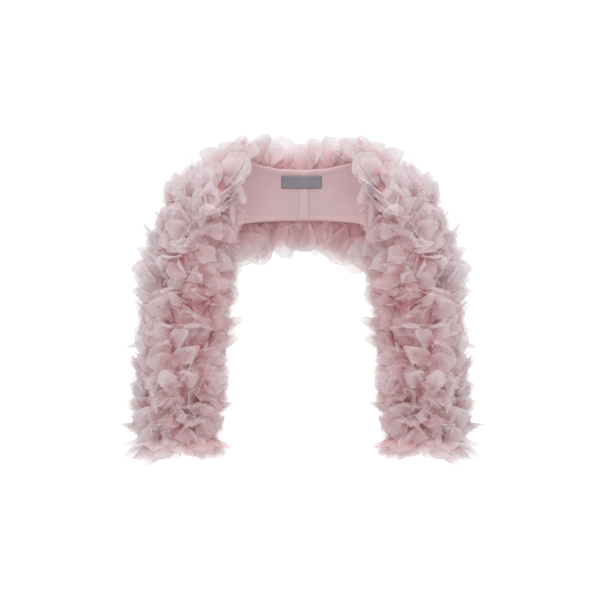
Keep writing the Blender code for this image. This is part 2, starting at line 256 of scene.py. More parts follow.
def back_angle(share, reach):
    """Angle at a share of the way from the back's hem to its top edge."""
    hem = edge_angle(BACK_HEM, reach)
    return hem + share * (edge_angle(BACK_TOP, reach) - hem)


def level_angle(reach, angle):
    """Angle at each reach that is as high as the given angle at centre back."""
    height = tube_point(np.zeros_like(reach), angle)[..., 2]
    sizes = ring_sizes(reach)
    low_z = sizes[..., 1]
    high_z = sizes[..., 3]
    return np.degrees(np.arcsin((2 * height - low_z - high_z) / (high_z - low_z)))


def eased(values, low, high):
    """0 below low, 1 above high and a smooth step between."""
    t = np.clip((np.asarray(values, float) - low) / (high - low), 0, 1)
    return t * t * (3 - 2 * t)


def mesh_from_grids(name, grids, material, tones=None, closed=False, across=None, down=None):
    """One mesh object from many grids of points, an array (count, rows, columns, 3).

    The UV map runs from 0 to 1 across and down each grid, or takes the values given for its columns and rows.
    """
    count, rows, columns = grids.shape[:3]
    steps = columns if closed else columns - 1
    across = np.linspace(0, 1, steps + 1) if across is None else across
    down = np.linspace(0, 1, rows) if down is None else down
    mesh = bpy.data.meshes.new(name)
    mesh.vertices.add(count * rows * columns)
    mesh.vertices.foreach_set("co", grids.reshape(-1).astype(np.float32))
    i, j = np.meshgrid(np.arange(rows - 1), np.arange(steps), indexing="ij")
    k = (j + 1) % columns
    quad = np.stack([i * columns + j, i * columns + k, (i + 1) * columns + k, (i + 1) * columns + j], axis=-1)
    faces = quad.reshape(1, -1, 4) + (np.arange(count) * rows * columns)[:, None, None]
    mesh.loops.add(faces.size)
    mesh.loops.foreach_set("vertex_index", faces.reshape(-1).astype(np.int32))
    mesh.polygons.add(faces.size // 4)
    mesh.polygons.foreach_set("loop_start", np.arange(0, faces.size, 4, dtype=np.int32))
    mesh.polygons.foreach_set("use_smooth", np.ones(faces.size // 4, dtype=bool))
    corner_across = across[np.stack([j, j + 1, j + 1, j], axis=-1)]
    corner_down = down[np.stack([i, i, i + 1, i + 1], axis=-1)]
    corners = np.stack([corner_across, corner_down], axis=-1).reshape(1, -1)
    layer = mesh.uv_layers.new(name="Cloth")
    layer.data.foreach_set("uv", np.repeat(corners, count, axis=0).reshape(-1).astype(np.float32))
    if tones is not None:
        tone = mesh.attributes.new("tone", "FLOAT", "POINT")
        tone.data.foreach_set("value", np.repeat(tones, rows * columns).astype(np.float32))
    mesh.update()
    mesh.validate()
    mesh.materials.append(material)
    obj = bpy.data.objects.new(name, mesh)
    bpy.context.scene.collection.objects.link(obj)
    return obj


def cloth_sheet(name, sheet, material, thickness, offset, **layout):
    """One grid of points as cloth, given its thickness by a Solidify modifier that is applied."""
    obj = mesh_from_grids(name, sheet[None], material, **layout)
    bpy.ops.object.select_all(action="DESELECT")
    obj.select_set(True)
    bpy.context.view_layer.objects.active = obj
    wall = obj.modifiers.new("Cloth", "SOLIDIFY")
    wall.thickness = thickness
    wall.offset = offset
    wall.use_even_offset = True
    bpy.ops.object.modifier_apply(modifier=wall.name)
    return obj


def start_group(name, scale, output):
    """An empty node group that takes a vector and a scale and puts out one value."""
    group = bpy.data.node_groups.new(name, "ShaderNodeTree")
    group.interface.new_socket("Vector", in_out="INPUT", socket_type="NodeSocketVector")
    group.interface.new_socket("Scale", in_out="INPUT", socket_type="NodeSocketFloat").default_value = scale
    group.interface.new_socket(output, in_out="OUTPUT", socket_type="NodeSocketFloat")
    return group, group.nodes.new("NodeGroupInput"), group.nodes.new("NodeGroupOutput")


def feed(socket, value):
    """Links an input to a socket of the same tree, or sets it to a number or colour."""
    if isinstance(value, bpy.types.NodeSocket):
        socket.id_data.links.new(value, socket)
    else:
        socket.default_value = (*value, 1) if socket.type == "RGBA" else value


def math_node(nodes, operation, *values, clamp=False):
    """A Math node whose inputs are numbers or sockets of the same tree."""
    node = nodes.new("ShaderNodeMath")
    node.operation = operation
    node.use_clamp = clamp
    for socket, value in zip(node.inputs, values):
        feed(socket, value)
    return node.outputs[0]


def rise_between(nodes, value, low, high):
    """0 below low, 1 above high and a smooth step between, as a socket."""
    node = nodes.new("ShaderNodeMapRange")
    node.interpolation_type = "SMOOTHSTEP"
    node.inputs["From Min"].default_value = low
    node.inputs["From Max"].default_value = high
    node.id_data.links.new(value, node.inputs["Value"])
    return node.outputs[0]


def weave_group():
    """Plain weave: two sets of threads that cross, as a height from 0 to 1."""
    if "Fine weave" in bpy.data.node_groups:
        return bpy.data.node_groups["Fine weave"]
    group, source, target = start_group("Fine weave", 400.0, "Height")
    nodes = group.nodes
    threads = []
    for direction in ("X", "Y"):
        wave = nodes.new("ShaderNodeTexWave")
        wave.bands_direction = direction
        wave.inputs["Distortion"].default_value = 0.6
        group.links.new(source.outputs["Vector"], wave.inputs["Vector"])
        group.links.new(source.outputs["Scale"], wave.inputs["Scale"])
        threads.append(wave.outputs["Fac"])
    height = math_node(nodes, "MULTIPLY", math_node(nodes, "ADD", *threads), 0.5)
    group.links.new(height, target.inputs["Height"])
    return group


def mottle_group():
    """Soft noise round 0.5: uneven colour of dyed cloth, and on the petals their crinkle, which is also painted into
    their colour as shade.
    """
    if "Dye mottle and crinkle shade" in bpy.data.node_groups:
        return bpy.data.node_groups["Dye mottle and crinkle shade"]
    group, source, target = start_group("Dye mottle and crinkle shade", 30.0, "Value")
    noise = group.nodes.new("ShaderNodeTexNoise")
    noise.inputs["Detail"].default_value = 4
    noise.inputs["Roughness"].default_value = 0.6
    group.links.new(source.outputs["Vector"], noise.inputs["Vector"])
    group.links.new(source.outputs["Scale"], noise.inputs["Scale"])
    group.links.new(noise.outputs["Fac"], target.inputs["Value"])
    return group


def cloth_uv(tree):
    """The UV map of a cloth piece as a vector, and its two ways as values."""
    uv = tree.nodes.new("ShaderNodeUVMap")
    uv.uv_map = "Cloth"
    parts = tree.nodes.new("ShaderNodeSeparateXYZ")
    tree.links.new(uv.outputs[0], parts.inputs[0])
    return uv.outputs[0], parts.outputs["X"], parts.outputs["Y"]


def off_middle(nodes, across):
    """How far a point lies from the middle of the UV map, 0 to 0.5, as a socket."""
    return math_node(nodes, "ABSOLUTE", math_node(nodes, "SUBTRACT", across, 0.5))


def place_group(material, group, scale, vector):
    node = material.node_tree.nodes.new("ShaderNodeGroup")
    node.node_tree = group
    node.inputs["Scale"].default_value = scale
    material.node_tree.links.new(vector, node.inputs["Vector"])
    return node.outputs[0]


def mix_colour(material, factor, first, second):
    """A colour mixed from two, each a colour or a socket."""
    node = material.node_tree.nodes.new("ShaderNodeMix")
    node.data_type = "RGBA"
    for i, value in ((0, factor), (6, first), (7, second)):
        feed(node.inputs[i], value)
    return node.outputs[2]


def mix_shader(tree, factor, first, second):
    node = tree.nodes.new("ShaderNodeMixShader")
    for socket, value in zip(node.inputs, (factor, first, second)):
        feed(socket, value)
    return node.outputs[0]


def bump(material, height, strength, distance, normal=None):
    node = material.node_tree.nodes.new("ShaderNodeBump")
    node.inputs["Strength"].default_value = strength
    node.inputs["Distance"].default_value = distance
    material.node_tree.links.new(height, node.inputs["Height"])
    if normal is not None:
        material.node_tree.links.new(normal, node.inputs["Normal"])
    return node.outputs[0]


def new_material(name):
    material = bpy.data.materials.new(name)
    material.use_nodes = True
    return material, material.node_tree.nodes["Principled BSDF"]


def petal_material(colours):
    """Sheer organza: crinkled along its length, with the crinkle's light and shade also painted into its colour, rose
    at the root, pale at the tip, with light through it.
    """
    material, shader = new_material("petal organza")
    tree = material.node_tree
    nodes = tree.nodes
    uv, across, along = cloth_uv(tree)
    tone = nodes.new("ShaderNodeAttribute")
    tone.attribute_name = "tone"
    tone = tone.outputs["Fac"]
    place = nodes.new("ShaderNodeCombineXYZ")
    tree.links.new(math_node(nodes, "MULTIPLY", across, 13.0), place.inputs["X"])
    tree.links.new(math_node(nodes, "MULTIPLY", along, 1.5), place.inputs["Y"])
    tree.links.new(math_node(nodes, "MULTIPLY", tone, 61.0), place.inputs["Z"])
    crinkle = place_group(material, mottle_group(), 1.0, place.outputs[0])
    weave = place_group(material, weave_group(), 34.0, uv)
    side_rim = math_node(nodes, "MULTIPLY", rise_between(nodes, off_middle(nodes, across), 0.43, 0.49), along)
    rim = math_node(nodes, "MAXIMUM", side_rim, rise_between(nodes, along, 0.92, 0.99))

    # A petal of a high tone is crisp: paler and less sheer than the rest.
    crisp = rise_between(nodes, tone, 0.45, 0.95)
    lightness = math_node(nodes, "MULTIPLY_ADD", tone, 0.6, 0.4)
    lightness = math_node(nodes, "MULTIPLY", rise_between(nodes, along, 0.0, 0.65), lightness)
    lightness = math_node(nodes, "MULTIPLY_ADD", crisp, 0.20, lightness, clamp=True)
    # Painted shade: the crinkle's light and dark streaks are added to the colour, over its bump.
    shading = math_node(nodes, "MULTIPLY_ADD", crinkle, 0.6, -0.30)
    crinkled = math_node(nodes, "ADD", lightness, shading, clamp=True)
    base = mix_colour(material, crinkled, tuple(colours.petal_rose), tuple(colours.petal_pale))
    rimmed = mix_colour(material, math_node(nodes, "MULTIPLY", rim, 0.4), base, (0.93, 0.87, 0.88))
    tree.links.new(rimmed, shader.inputs["Base Color"])
    shader.inputs["Roughness"].default_value = 0.6
    shader.inputs["Specular IOR Level"].default_value = 0.25
    normal = bump(material, weave, 0.1, 0.0003, bump(material, crinkle, 0.12, 0.002))
    tree.links.new(normal, shader.inputs["Normal"])

    through = nodes.new("ShaderNodeBsdfTranslucent")
    glow = mix_colour(material, lightness, tuple(colours.petal_glow), (0.92, 0.85, 0.86))
    tree.links.new(glow, through.inputs["Color"])
    tree.links.new(normal, through.inputs["Normal"])
    cloth = mix_shader(tree, 0.50, shader.outputs[0], through.outputs[0])

    worn = math_node(nodes, "MULTIPLY_ADD", crisp, -0.25, 1.0)
    worn = math_node(nodes, "MULTIPLY", rise_between(nodes, along, 0.30, 1.0), worn)
    solid = math_node(nodes, "MULTIPLY_ADD", crisp, 0.20, 0.78)
    solid = math_node(nodes, "MULTIPLY_ADD", worn, -0.52, solid)
    solid = math_node(nodes, "ADD", solid, math_node(nodes, "MULTIPLY", rim, 0.04), clamp=True)
    clear = nodes.new("ShaderNodeBsdfTransparent")
    sheer = mix_shader(tree, solid, clear.outputs[0], cloth)
    tree.links.new(sheer, nodes["Material Output"].inputs["Surface"])
    return material


def cloth_material(name, colour, roughness, sheen, weave_scale, weave_strength):
    """Woven cloth with a dyed mottle and a weave that show on Object coordinates."""
    material, shader = new_material(name)
    tree = material.node_tree
    place = tree.nodes.new("ShaderNodeTexCoord").outputs["Object"]
    mottle = place_group(material, mottle_group(), 22.0, place)
    darker = tuple(c * 0.90 for c in colour)
    lighter = tuple(min(1, c * 1.08) for c in colour)
    tree.links.new(mix_colour(material, mottle, darker, lighter), shader.inputs["Base Color"])
    shader.inputs["Roughness"].default_value = roughness
    shader.inputs["Sheen Weight"].default_value = sheen
    weave = place_group(material, weave_group(), weave_scale, place)
    tree.links.new(bump(material, weave, weave_strength, 0.0002), shader.inputs["Normal"])
    return material


def lining_material(colour):
    """Lining satin, paler where it is folded double at its edges and pleat, with painted light that makes it darker
    low in the middle and paler towards the neck and armholes.
    """
    material = cloth_material(
        "lining satin", colour, roughness=0.48, sheen=0.35, weave_scale=420, weave_strength=0.12
    )
    tree = material.node_tree
    nodes = tree.nodes
    shader = nodes["Principled BSDF"]
    single = shader.inputs["Base Color"].links[0].from_socket
    _, across, up = cloth_uv(tree)
    edge = math_node(nodes, "MINIMUM", up, math_node(nodes, "SUBTRACT", 1.0, up))
    turned = math_node(nodes, "SUBTRACT", 1.0, rise_between(nodes, edge, 0.080, 0.112))
    start = PLEAT_START / (2 * ARMHOLE) + 0.5
    end = (PLEAT_START + PLEAT_WIDTH) / (2 * ARMHOLE) + 0.5
    before_end = math_node(nodes, "SUBTRACT", 1.0, rise_between(nodes, across, end, end + 0.008))
    pleat = math_node(nodes, "MULTIPLY", rise_between(nodes, across, start - 0.002, start), before_end)
    double = math_node(nodes, "MULTIPLY", math_node(nodes, "MAXIMUM", turned, pleat), 0.55)
    paler = tuple(min(1, c * k) for c, k in zip(colour, (1.14, 1.09, 1.09)))
    # Painted light: the colour is scaled darker low in the middle and paler towards the neck and armholes, against the
    # shade that the fronts and sleeves cast on the lining's sides.
    painted_light_aside = math_node(nodes, "POWER", off_middle(nodes, across), 2.0)
    painted_light_upwards = math_node(nodes, "MULTIPLY_ADD", up, 0.24, 0.81)
    strength = math_node(nodes, "MULTIPLY_ADD", painted_light_aside, 3.8, painted_light_upwards)
    painted_light_graded = nodes.new("ShaderNodeVectorMath")
    painted_light_graded.operation = "SCALE"
    tree.links.new(mix_colour(material, double, single, paler), painted_light_graded.inputs[0])
    tree.links.new(math_node(nodes, "MINIMUM", strength, 1.36), painted_light_graded.inputs["Scale"])
    tree.links.new(painted_light_graded.outputs[0], shader.inputs["Base Color"])
    return material


def side_name(side):
    return "left" if side > 0 else "right"


def ripples(reach, angle):
    """Soft folds that a hanging sleeve takes, in metres inwards, deepest at the elbow and none at its ends."""
    reach_out = np.abs(reach)
    elbow = np.exp(-(((reach_out - ELBOW) / 0.07) ** 2))
    waves = np.sin(np.radians(3 * angle) + 60 * reach) + 0.6 * np.sin(np.radians(5 * angle) - 95 * reach + 1.0)
    folds = 0.0006 * (1 + waves) * (0.4 + elbow)
    return folds * eased(CUFF - reach_out, 0, 0.05) * eased(reach_out - ARMHOLE, 0, 0.04)


def sleeve_shell(side, sizes, material):
    """One sleeve: a tube of cloth with soft folds and a turned-up cuff."""
    reach = side * np.linspace(ARMHOLE + SEAM_GAP, CUFF, 96)
    angle = np.linspace(SIDE_SEAM, SIDE_SEAM + 360, 72, endpoint=False)
    reach, angle = np.meshgrid(reach, angle, indexing="ij")
    point, normal, _, _ = tube_frame(reach, angle)
    cuff = 0.0005 * eased(np.abs(reach), CUFF - 0.016, CUFF - 0.012)
    sheet = point - normal * (ripples(reach, angle) - cuff)[..., None]
    name = f"sleeve_cloth_{side_name(side)}"
    return cloth_sheet(name, sheet[:, :: -int(side)], material, sizes.cloth, -1, closed=True)


def back_shell(sizes, material):
    """The back from armhole to armhole."""
    reach = np.linspace(-ARMHOLE + SEAM_GAP, ARMHOLE - SEAM_GAP, 121)
    share, reach = np.meshgrid(np.linspace(0, 1, 33), reach, indexing="ij")
    sheet = tube_point(reach, back_angle(share, reach))
    return cloth_sheet("back_cloth", sheet[:, ::-1], material, sizes.cloth, -1)


def front_shell(side, sizes, material):
    """One sliver of front, from the shoulder seam to the underarm."""
    angle = np.linspace(SHOULDER_SEAM + 0.3, SHOULDER_SEAM + 179.7, 49)
    angle, share = np.meshgrid(angle, np.linspace(0, 1, 15), indexing="ij")
    edge = front_reach(angle)
    sheet = tube_point(side * (edge + share * (ARMHOLE - SEAM_GAP - edge)), angle)
    return cloth_sheet(f"front_cloth_{side_name(side)}", sheet[:, :: -int(side)], material, sizes.cloth, -1)


def pleat_path():
    """The lining's run across the back as reach and extra depth: flat, folded over itself, then flat again."""
    layer = PLEAT_LAYER
    start = PLEAT_START
    end = PLEAT_START + PLEAT_WIDTH
    ease = end + 0.006
    run = [(r, 0) for r in np.linspace(-ARMHOLE + 0.002, start - 0.008, 60)]
    run += [(r, 0) for r in np.linspace(start - 0.004, end, 9)]
    run += [(end + layer * 0.45, layer * 0.35), (end + layer * 0.45, layer * 0.65)]
    run += [(r, layer) for r in np.linspace(end, start, 7)]
    run += [(start - layer * 0.45, layer * 1.35), (start - layer * 0.45, layer * 1.65)]
    run += [(r, layer * 2) for r in np.linspace(start, end, 7)]
    run += [(r, layer * 2 * (1 - eased(r, end, ease))) for r in np.linspace(end + 0.0008, ease, 8)]
    run += [(r, 0) for r in np.linspace(ease + 0.004, ARMHOLE - 0.002, 56)]
    return np.array([(reach, float(depth)) for reach, depth in run])


def lining_face(reach, share):
    """How far the lining lies inside the outer surface, without its pleat: turned edges and soft creases."""
    height = LINING_HEIGHT * share
    edge = np.minimum(height, LINING_HEIGHT - height)
    turned = 0.0007 * (1 - eased(edge, 0.008, 0.011)) * eased(edge, 0, 0.003)
    drawn_in = -0.0010 * (1 - eased(edge, 0, 0.003))
    creases = 0.0003 * np.sin(34 * reach + 2.2 * share) + 0.0002 * np.sin(71 * reach - 3 * share + 1.1)
    return LINING_DEPTH + turned + drawn_in + creases * np.sin(np.pi * share) + 0.0006


def lining_sheet(sizes, material):
    """The satin lining with its centre pleat and turned edges."""
    path = pleat_path()
    levels = np.concatenate([np.linspace(0, 0.13, 18), np.linspace(0.15, 0.85, 34), np.linspace(0.87, 1, 18)])
    share, reach = np.meshgrid(levels, path[:, 0], indexing="ij")
    depth = lining_face(reach, share) + path[:, 1] * (0.55 + 0.45 * np.sin(np.pi * share) ** 0.5)
    lean = -0.004 * (1 - eased(share, 0.0, 0.10)) * np.exp(-((path[:, 0] / 0.03) ** 2))
    point, normal, _, _ = tube_frame(reach + lean, back_angle(share, reach))
    sheet = point - normal * depth[..., None]
    across = path[:, 0] / (2 * ARMHOLE) + 0.5
    return cloth_sheet("lining_satin", sheet, material, sizes.satin, 0, across=across, down=levels)


def label_sheet(material):
    """A bare woven label with rounded corners, bridging the pleat."""
    up, across = np.meshgrid(np.linspace(0, 1, 25), np.linspace(-1, 1, 61), indexing="ij")
    low, high = LABEL_SHARES
    height = (high - low) * LINING_HEIGHT
    inset = np.maximum(0, LABEL_CORNER - np.minimum(up, 1 - up) * height)
    pull = LABEL_CORNER - np.sqrt(np.maximum(LABEL_CORNER**2 - inset**2, 0))
    reach = across * (LABEL_WIDTH / 2 - pull)
    share = low + up * (high - low)
    over_pleat = 2 * PLEAT_LAYER * eased(reach, -0.016, -0.004) * (1 - eased(reach, 0.012, 0.026))
    edge = np.minimum(np.minimum(up, 1 - up) * height, (1 - np.abs(across)) * LABEL_WIDTH / 2)
    depth = LINING_DEPTH + 0.0026 + over_pleat - 0.0009 * (1 - eased(edge, 0, 0.002))
    angle = level_angle(reach, back_angle(share, np.zeros_like(reach)))
    point, normal, _, _ = tube_frame(reach, angle)
    return cloth_sheet("neck_label", point - normal * depth[..., None], material, LABEL_CLOTH, 0)


def edge_lines():
    """The left half's open edges: neck edge, hem, front edge and cuff."""
    top = np.linspace(0.007, 0.100, 90)
    hem = np.linspace(0.007, 0.140, 120)
    front = np.linspace(95, 255, 120)
    parted = np.exp(-(((front - 177) / 11) ** 2))
    neckward = 0.92 + 0.40 * (1 - eased(front, 150, 166)) - 0.24 * eased(front, 182, 196)
    return [
        EdgeLine(
            reach=top, angle=edge_angle(BACK_TOP, top), kind="around", way=1, spacing=0.027, inset=0.006, range=0.034,
            lean=1.90 - 1.5 * eased(top, 0.055, 0.090), length=1.28 - 0.32 * eased(top, 0.025, 0.075),
            width=1.95, kept=0.75,
        ),
        EdgeLine(
            reach=hem, angle=edge_angle(BACK_HEM, hem), kind="around", way=-1, spacing=0.023, inset=0.008, range=0.034,
            lean=2.30, length=1.34 + 0.16 * eased(hem, 0.02, 0.07), width=2.20, kept=0.6,
        ),
        EdgeLine(
            reach=front_reach(front), angle=front, kind="along", way=-1, spacing=0.021, inset=0.006, range=0.034,
            lean=1.50 - 1.2 * parted, length=neckward - 0.42 * parted, width=1.35, kept=0.9,
        ),
        EdgeLine(
            reach=np.full(len(ROUND_CUFF), CUFF), angle=ROUND_CUFF, kind="along", way=1, spacing=0.022, inset=0.016,
            range=0.048, lean=1.70, length=1.08, width=1.15, kept=1.0,
        ),
    ]


class TuftField:
    """Places of the petal tufts on the left half: evenly along the open edges, then scattered between."""

    def __init__(self, sizes, seed):
        self.seed = seed
        rng = np.random.default_rng(seed)
        self.reach = np.zeros(0)
        self.angle = np.zeros(0)
        self.points = np.zeros((0, 3))
        for line in edge_lines():
            inset = -line.way * line.inset
            turned = line.angle + (math.degrees(inset / MIDDLE_RADIUS) if line.kind == "around" else 0)
            moved = line.reach + (inset if line.kind == "along" else 0)
            self.scatter(moved, turned, line.spacing)
        self.scatter(np.full(len(ROUND_CUFF), SECOND_CUFF_ROW), ROUND_CUFF, sizes.tuft_spacing * 0.8)
        reach = rng.uniform(0, CUFF - 0.01, SCATTER_TRIES)
        angle = rng.uniform(SIDE_SEAM, SIDE_SEAM + 360, SCATTER_TRIES)
        on_back = (angle > edge_angle(BACK_HEM, reach) + 4) & (angle < edge_angle(BACK_TOP, reach) - 4)
        on_front = (angle > SHOULDER_SEAM) & (reach > front_reach(angle) + 0.005)
        cloth = on_back | on_front | (reach > ARMHOLE)
        chest = cloth & (reach < 0.25) & (angle > 100) & (angle < 250)
        self.scatter(reach[chest], angle[chest], sizes.tuft_spacing * 0.9)
        low = reach > 0.50
        self.scatter(reach[low], angle[low], sizes.tuft_spacing * 0.8)
        self.scatter(reach[cloth], angle[cloth], sizes.tuft_spacing)

    def scatter(self, reach, angle, spacing):
        """Adds each tuft that isn't nearer than the spacing to another, or to its mirror image."""
        places = tube_point(reach, angle)
        for r, a, place in zip(reach, angle, places):
            near = len(self.points) and np.min(np.sum((self.points - place) ** 2, axis=1)) < spacing**2
            if near or 2 * place[0] < spacing * 0.55:
                continue
            self.points = np.vstack([self.points, place])
            self.reach = np.append(self.reach, r)
            self.angle = np.append(self.angle, a)

    def over_edges(self):
        """For each tuft, the way out over its nearest edge, its petals' length, width and share kept, and nearness."""
        way = np.zeros_like(self.points)
        scale = np.ones((len(self.points), 3))
        near = np.zeros(len(self.points))
        for line in edge_lines():
            point, _, along, around = tube_frame(line.reach, line.angle)
            gaps = np.linalg.norm(self.points[:, None] - point[None], axis=-1)
            nearest = gaps.argmin(axis=1)
            here = 1 - eased(gaps.min(axis=1), 0.004, line.range)
            taken = here > near
            lean = np.broadcast_to(line.way * line.lean, len(point))[:, None]
            out = lean * (around if line.kind == "around" else along)
            kept = np.full(len(point), line.kept)
            size = np.stack(np.broadcast_arrays(line.length, line.width, kept), axis=-1)
            way[taken] = (out[nearest] * here[:, None])[taken]
            scale[taken] = (1 + (size[nearest] - 1) * here[:, None])[taken]
            near = np.maximum(near, here)
        return way, scale, near


def petal_outline(along, broadest, tip):
    """Width of a petal along its length, 0 to 1: pinched at the root, broad in the middle, narrower at the tip."""
    opening = np.sin(math.pi / 2 * np.minimum(1, (along + 0.05) / (broadest + 0.05)) ** 0.85)
    closing = 1 - (1 - tip) * (np.maximum(0, along - broadest) / (1 - broadest)) ** 2
    return opening * closing


def spread(values):
    """Per-petal values shaped to meet arrays of petals, rows and columns."""
    return values[:, None, None]


class Petals:
    """The petals of one tuft field. Its arrays have a row for each petal, and tuft gives each petal's tuft."""

    def __init__(self, field, sizes):
        self.field = field
        self.sizes = sizes
        self.rng = np.random.default_rng(field.seed + 1)
        self.point, self.normal, _, self.around = tube_frame(field.reach, field.angle)
        self.lean, self.edge_scale, self.near_edge = field.over_edges()
        self.rise = np.sin(np.radians(field.angle))
        self.tuft = np.repeat(np.arange(len(self.point)), sizes.petals_per_tuft)
        self.total = len(self.tuft)
        self.aim()
        self.cut()

    def aim(self):
        """Gives each petal its tuft's axis, the ways it opens and spreads, and how far it opens and bends on."""
        rng = self.rng
        reach = self.field.reach
        count = self.sizes.petals_per_tuft
        near_edge = self.near_edge[self.tuft]
        normal = self.normal[self.tuft]
        around = self.around[self.tuft]
        sag = np.zeros_like(self.point)
        sag[:, 2] = -0.22 - 0.22 * eased(reach, 0.22, 0.32)
        axis = unit(self.normal + self.lean + rng.normal(0, 0.24, self.point.shape) + sag)
        rings = rng.choice(len(PETAL_RINGS), self.total, p=[ring.share for ring in PETAL_RINGS])
        ring = PetalRing(*np.array(PETAL_RINGS)[rings].T)
        turn = np.tile(np.arange(count) * GOLDEN_ANGLE, len(axis)) + rng.uniform(-0.5, 0.5, self.total)
        turn += np.repeat(rng.uniform(0, 2 * math.pi, len(axis)), count)
        along_edge = unit(np.cross(self.normal, self.lean) + 1e-9)[self.tuft]
        fan = rng.uniform(-0.70, 0.70, self.total) * near_edge
        up = unit(axis[self.tuft] * np.cos(fan)[:, None] + along_edge * np.sin(fan)[:, None])
        side = unit(np.cross(up, np.where(np.abs(up[:, :1]) < 0.8, [[1.0, 0, 0]], [[0, 1.0, 0]])))
        out = side * np.cos(turn)[:, None] + np.cross(up, side) * np.sin(turn)[:, None]
        flat = eased(self.rise, 0.1, 0.7) * eased(reach, 0.10, 0.15) * (1 - eased(reach, 0.22, 0.30))
        opening = np.radians(rng.uniform(ring.open_low, ring.open_high)) * (1 - 0.6 * near_edge)
        opening = opening + (math.radians(84) - opening) * 0.20 * flat[self.tuft]
        out = out + around * np.sign(dot(out, around)) * 0.55
        out = unit(out - up * dot(out, up))
        start = np.cos(opening)[:, None] * up + np.sin(opening)[:, None] * out
        out = np.where(dot(start, normal) < 0.12, -out, out)
        facing = normal - up * dot(normal, up)
        out = unit(out * (1 - 0.75 * near_edge)[:, None] + facing * near_edge[:, None] * 1.2)
        bend = np.minimum(np.radians(rng.uniform(ring.bend_low, ring.bend_high)), math.radians(94) - opening)
        self.up = up
        self.out = out
        self.broad = np.cross(up, out)
        self.opening = opening
        self.bend = bend * (1 - 0.7 * near_edge)
        self.ring_length = ring.length

    def cut(self):
        """Gives each petal its length, width, outline and folds, and the point that it grows from."""
        rng = self.rng
        total = self.total
        reach = self.field.reach
        rise = self.rise
        armpit = eased(-rise, 0.5, 0.95) * (1 - eased(reach, 0.20, 0.33))
        shoulder = eased(rise, 0.2, 0.7) * eased(reach, 0.10, 0.14) * (1 - eased(reach, 0.175, 0.195))
        upper_arm = eased(rise, 0.2, 0.7) * np.exp(-(((reach - 0.238) / 0.022) ** 2))
        inside = eased(-rise, 0.4, 0.9) * eased(reach, 0.28, 0.36) * (1 - eased(reach, 0.46, 0.54))
        on_top = eased(rise, -0.2, 0.4) * eased(reach, 0.08, 0.12) * (1 - eased(reach, 0.24, 0.32))
        shorter = (1 - 0.45 * armpit) * (1 - 0.16 * shoulder - 0.18 * upper_arm)
        shorter = shorter * (1 - 0.14 * inside) * (1 - 0.05 * eased(reach, 0.50, 0.56))
        unlike = rng.normal(1, 0.13 + 0.08 * self.near_edge[self.tuft]).clip(0.65, 1.35)
        self.length = self.sizes.petal_length * self.ring_length * unlike
        self.length *= (shorter * self.edge_scale[:, 0])[self.tuft]
        unlike = rng.normal(1, 0.22, total).clip(0.45, 1.5)
        self.width = self.sizes.petal_width * unlike * self.edge_scale[self.tuft, 1]
        self.width *= (1 + 0.22 * on_top)[self.tuft]
        self.broadest = rng.uniform(0.48, 0.74, total)
        pointed = rng.random(total) < 0.38
        self.tip = np.where(pointed, rng.uniform(0.10, 0.30, total), rng.uniform(0.45, 0.72, total))
        folded = rng.random(total) < 0.30
        self.fold = np.where(folded, rng.uniform(0.35, 1.1, total), rng.normal(0.05, 0.14, total))
        self.cup = rng.normal(0.08, 0.20, total)
        self.twist = rng.normal(0, 0.22, total)
        self.ruffle = rng.uniform(0.0004, 0.0028, total)
        self.ruffles = rng.uniform(0.8, 2.0, total)
        self.pleats = rng.uniform(0.02, 0.10, total)
        self.pleat_turn = rng.uniform(2.6, 4.6, total)
        self.phase = rng.uniform(0, 2 * math.pi, (total, 3))
        self.jagged = rng.normal(0, 0.014, (total, 1, len(PETAL_COLUMNS))) * spread(self.tip)
        self.arc = np.where(pointed, rng.uniform(0.04, 0.12, total), rng.uniform(0.14, 0.26, total))
        stitched = rng.normal(0, 0.0028, (total, 3))
        self.root = self.point[self.tuft] + self.normal[self.tuft] * 0.001 + stitched

    def surface(self):
        """Points of the petals, an array (petals, rows, columns, 3)."""
        rows = PETAL_ROWS[None, :]
        middle = (rows[:, 1:] + rows[:, :-1]) / 2
        up = self.up[:, None]
        out = self.out[:, None]
        broad = self.broad[:, None]
        tilt = (self.opening[:, None] + self.bend[:, None] * rows**1.3)[..., None]
        tilt_between = (self.opening[:, None] + self.bend[:, None] * middle**1.3)[..., None]
        step = np.diff(rows, axis=1) * self.length[:, None]
        walk = np.cumsum(step[..., None] * (np.cos(tilt_between) * up + np.sin(tilt_between) * out), axis=1)
        centre = self.root[:, None] + np.concatenate([np.zeros((self.total, 1, 3)), walk], axis=1)
        ahead = np.cos(tilt) * up + np.sin(tilt) * out
        above = np.sin(tilt) * up - np.cos(tilt) * out
        twisted = (self.twist[:, None] * rows)[..., None]
        wide = np.cos(twisted) * broad + np.sin(twisted) * above
        face = np.cos(twisted) * above - np.sin(twisted) * broad
        outline = petal_outline(rows, self.broadest[:, None], self.tip[:, None])[..., None]

        u = PETAL_COLUMNS[None, None, :]
        v = PETAL_ROWS[None, :, None]
        fold = spread(self.fold)
        half = spread(self.width) / 2 * outline
        slim = 1 / np.sqrt(1 + fold**2)
        creases = np.cos(spread(self.pleat_turn) * u + spread(self.phase[:, 2]))
        side_phase = np.where(u < 0, spread(self.phase[:, 0]), spread(self.phase[:, 1]))
        waves = np.sin(side_phase + 2 * math.pi * spread(self.ruffles) * v)
        hollow = half * (spread(self.cup) * u**2 + fold * np.abs(u) * slim)
        hollow = hollow + half * spread(self.pleats) * creases * v
        hollow = hollow + spread(self.ruffle) * u**2 * waves * v * outline
        ends = spread(self.length) * (self.jagged - spread(self.arc) * np.abs(u) ** 2.6) * v**2
        return (
            centre[:, :, None]
            + wide[:, :, None] * (half * u * slim)[..., None]
            + face[:, :, None] * hollow[..., None]
            + ahead[:, :, None] * ends[..., None]
        )

